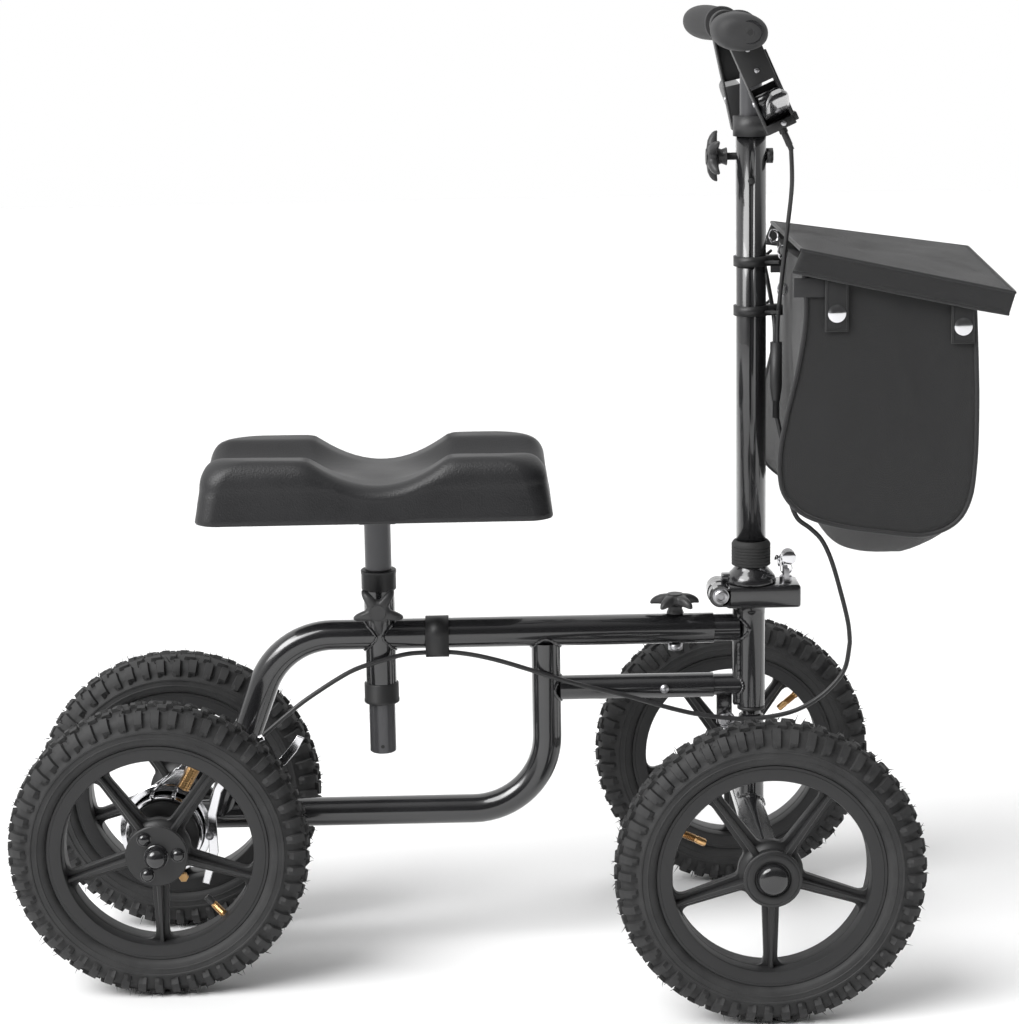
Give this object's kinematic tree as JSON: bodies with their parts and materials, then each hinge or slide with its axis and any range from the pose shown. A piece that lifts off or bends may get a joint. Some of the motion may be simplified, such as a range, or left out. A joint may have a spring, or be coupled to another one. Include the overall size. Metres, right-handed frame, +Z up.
{
  "type": "knee scooter",
  "caption": "Four-wheeled steerable knee scooter with a folding stem, height-adjustable bars and padded knee seat, hand brake and a front bag with a hinged lid.",
  "frame": {"origin": "on the floor, half way along and half way across the whole scooter", "axes": "+X towards the front wheels, +Y to the rider's left, +Z up"},
  "size_m": [1.005, 0.4962, 0.9755],
  "materials": {
    "gloss_black": "gloss",
    "satin_grey": "satin",
    "black_plastic": "satin",
    "tyre_rubber": "matte",
    "grip_rubber": "matte",
    "cable_jacket": "satin",
    "bag_fabric": "matte",
    "pad_cover": "grained",
    "chrome_plate": "polished",
    "zinc_steel": "satin",
    "brass": "satin"
  },
  "bodies": {
    "frame": {"upper_tube": "gloss_black", "down_tube": "gloss_black", "lower_tube": "gloss_black", "rear_axle_tube": "gloss_black", "seat_sleeve": "gloss_black", "seat_collars": "black_plastic", "head_tube": "gloss_black", "head_bushes": "black_plastic", "frame_fasteners": "zinc_steel", "cable_strap": "black_plastic", "brake_backplate": "chrome_plate", "cable_anchor": "brass", "brake_band": "chrome_plate", "brake_cable_rear": "cable_jacket", "rear_axle": "gloss_black"},
    "brake_lever_arm": {"brake_arm": "chrome_plate"},
    "column": {"front_fork": "gloss_black", "lower_casting": "gloss_black", "fold_pin": "zinc_steel", "brake_cable_head": "cable_jacket", "front_axle": "zinc_steel"},
    "latch": {"latch_lever": "chrome_plate"},
    "stem": {"upper_casting": "gloss_black", "stem_tube": "gloss_black", "stem_sleeve": "grip_rubber", "stem_collar": "black_plastic", "bag_clips": "zinc_steel", "bag_body": "bag_fabric", "bag_snaps": "bag_fabric", "cable_splitter": "black_plastic", "brake_cable_stem": "cable_jacket"},
    "lid": {"bag_lid": "bag_fabric"},
    "stem_lock": {"stem_knob": "black_plastic"},
    "frame_lock": {"frame_knob": "black_plastic"},
    "seat_lock": {"seat_knob": "black_plastic"},
    "bars": {"handlebar": "satin_grey", "grips": "grip_rubber", "lever_brackets": "gloss_black", "lever_cables": "cable_jacket"},
    "right_lever": {"right_brake_lever": "gloss_black"},
    "left_lever": {"left_brake_lever": "gloss_black"},
    "seat": {"seat_post": "satin_grey", "knee_pad": "pad_cover"},
    "front_right_wheel": {"front_right_rim": "black_plastic", "front_right_tyre": "tyre_rubber", "front_right_inner_tube": "brass", "front_right_hub_set": "black_plastic"},
    "front_left_wheel": {"front_left_rim": "black_plastic", "front_left_tyre": "tyre_rubber", "front_left_inner_tube": "brass", "front_left_hub_set": "black_plastic"},
    "rear_right_wheel": {"rear_right_rim": "black_plastic", "rear_right_tyre": "tyre_rubber", "rear_right_inner_tube": "brass", "rear_right_hub_set": "black_plastic", "brake_drum": "zinc_steel"},
    "rear_left_wheel": {"rear_left_rim": "black_plastic", "rear_left_tyre": "tyre_rubber", "rear_left_inner_tube": "brass", "rear_left_hub_set": "black_plastic"}
  },
  "joints": [
    {"name": "steer", "type": "hinge", "parent": "frame", "child": "column", "pos_m": [0.259, 0, 0.3], "axis": [0, 0, 1], "range_deg": [-30, 30], "deforming": ["brake_cable_head"]},
    {"name": "fold", "type": "hinge", "parent": "column", "child": "stem", "pos_m": [0.226, 0, 0.383], "axis": [0, 1, 0], "range_deg": [-48, 0]},
    {"name": "latch_turn", "type": "hinge", "parent": "column", "child": "latch", "pos_m": [0.295, 0, 0.407], "axis": [0, 1, 0], "range_deg": [-25, 40]},
    {"name": "bar_height", "type": "slide", "parent": "stem", "child": "bars", "axis": [0, 0, 1], "range_m": [-0.04, 0.08], "deforming": ["lever_cables"]},
    {"name": "right_brake", "type": "hinge", "parent": "bars", "child": "right_lever", "pos_m": [0.2691, -0.07, 0.8904], "axis": [-0.9135, 0, -0.4067], "range_deg": [0, 10], "stiffness_Nm_per_rad": 1.5},
    {"name": "left_brake", "type": "hinge", "parent": "bars", "child": "left_lever", "pos_m": [0.25438, 0.07, 0.88562], "axis": [0.9781, 0, 0.2079], "range_deg": [0, 10], "stiffness_Nm_per_rad": 1.5},
    {"name": "drum_brake", "type": "hinge", "parent": "frame", "child": "brake_lever_arm", "pos_m": [-0.3044, -0.05, 0.1465], "axis": [0, 1, 0], "range_deg": [-8, 0]},
    {"name": "lid_open", "type": "hinge", "parent": "stem", "child": "lid", "pos_m": [0.2905, 0, 0.748], "axis": [0, -1, 0], "range_deg": [0, 65]},
    {"name": "seat_height", "type": "slide", "parent": "frame", "child": "seat", "axis": [0, 0, 1], "range_m": [-0.045, 0.08]},
    {"name": "frame_knob_turn", "type": "hinge", "parent": "frame", "child": "frame_lock", "pos_m": [0.1805, 0, 0.37], "axis": [0, 0, 1], "continuous": true},
    {"name": "seat_knob_turn", "type": "hinge", "parent": "frame", "child": "seat_lock", "pos_m": [-0.125, -0.03, 0.3785], "axis": [0, 1, 0], "continuous": true},
    {"name": "stem_knob_turn", "type": "hinge", "parent": "stem", "child": "stem_lock", "pos_m": [0.229, 0, 0.83], "axis": [1, 0, 0], "continuous": true},
    {"name": "front_right_roll", "type": "hinge", "parent": "column", "child": "front_right_wheel", "pos_m": [0.257, -0.212, 0.1525], "axis": [0, 1, 0], "continuous": true},
    {"name": "front_left_roll", "type": "hinge", "parent": "column", "child": "front_left_wheel", "pos_m": [0.257, 0.212, 0.1525], "axis": [0, 1, 0], "continuous": true},
    {"name": "rear_right_roll", "type": "hinge", "parent": "frame", "child": "rear_right_wheel", "pos_m": [-0.35, -0.102, 0.1525], "axis": [0, 1, 0], "continuous": true},
    {"name": "rear_left_roll", "type": "hinge", "parent": "frame", "child": "rear_left_wheel", "pos_m": [-0.35, 0.102, 0.1525], "axis": [0, 1, 0], "continuous": true}
  ],
  "couplings": [
    {"joint": "drum_brake", "follows": "right_brake", "ratio": -0.8}
  ]
}
